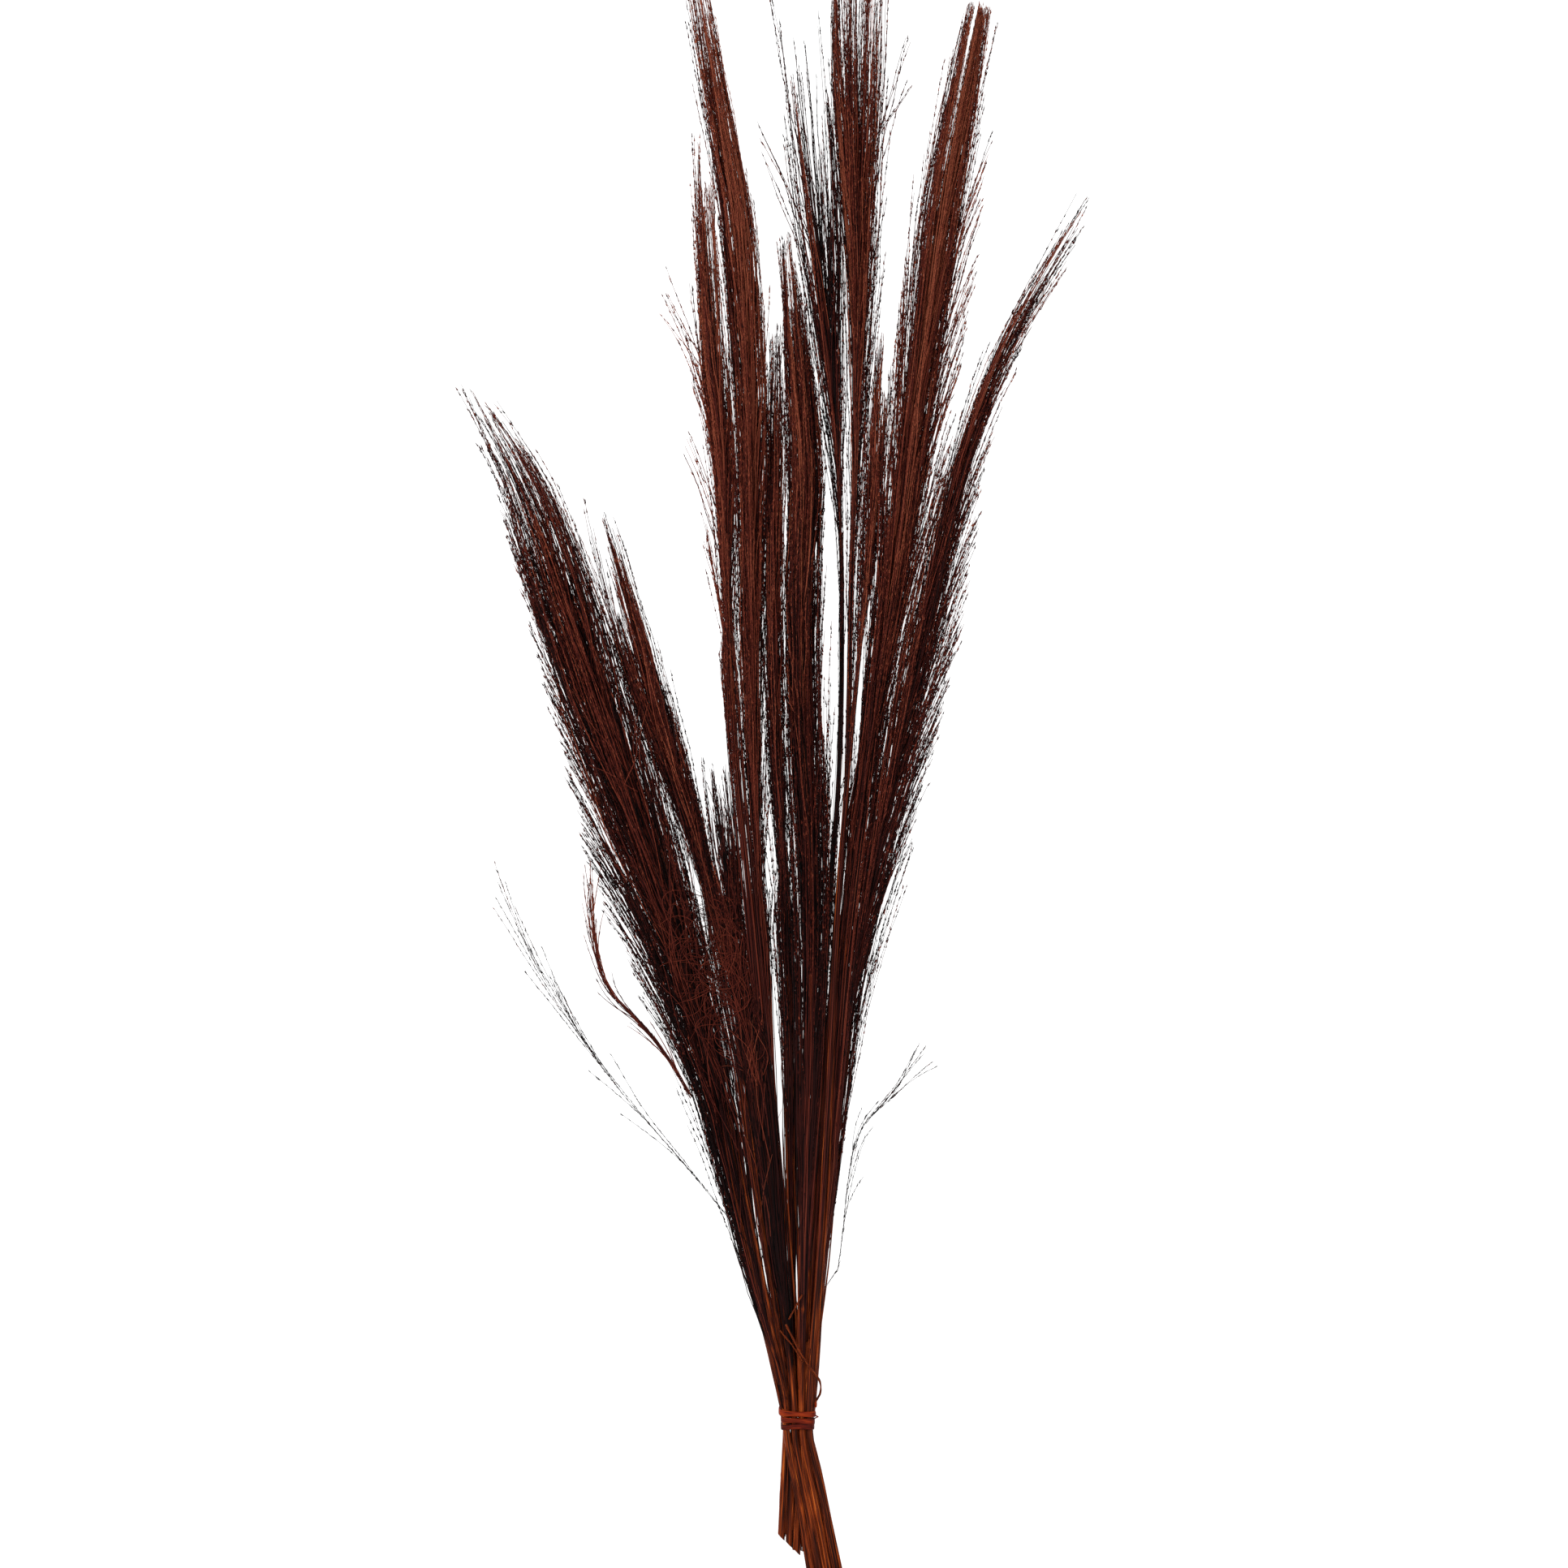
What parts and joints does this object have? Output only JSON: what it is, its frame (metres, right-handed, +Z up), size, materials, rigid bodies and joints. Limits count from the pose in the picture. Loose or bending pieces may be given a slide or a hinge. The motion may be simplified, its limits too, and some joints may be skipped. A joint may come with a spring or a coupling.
{
  "type": "bundle of pampas grass",
  "caption": "Bundle of dyed, dried pampas grass lying flat: long feathery brush-like plumes on slim stems, fanned out from a cane tie wound near the cut ends.",
  "frame": {"origin": "middle of the bundle's bounding box, on the surface that it lies on", "axes": "+Y along the bundle from the cut ends to the plumes, +Z up off the surface, +X to the right seen from above with the plumes pointing away"},
  "size_m": [0.4196, 1.137, 0.0243],
  "materials": {
    "stem": "satin",
    "plume": "matte",
    "tie": "satin",
    "strand": "matte"
  },
  "bodies": {
    "root": {"stem_far_left": "stem", "stem_left": "stem", "stem_small_left": "stem", "stem_tall_left": "stem", "stem_inner_left": "stem", "stem_centre_left": "stem", "stem_centre": "stem", "stem_fork_left": "stem", "stem_fork_right": "stem", "stem_small_right": "stem", "stem_tall_right": "stem", "stem_far_right": "stem", "plume_far_left": "plume", "plume_left": "plume", "plume_small_left": "plume", "plume_tall_left": "plume", "plume_inner_left": "plume", "plume_centre_left": "plume", "plume_centre": "plume", "plume_fork_left": "plume", "plume_fork_right": "plume", "plume_small_right": "plume", "plume_tall_right": "plume", "plume_far_right": "plume", "tie_wrap": "tie", "tie_end": "tie", "wisp_left": "strand", "wisp_right": "strand", "curl_left": "strand", "tendril_long": "strand", "tendril_short": "strand", "twig": "strand"}
  },
  "joints": []
}
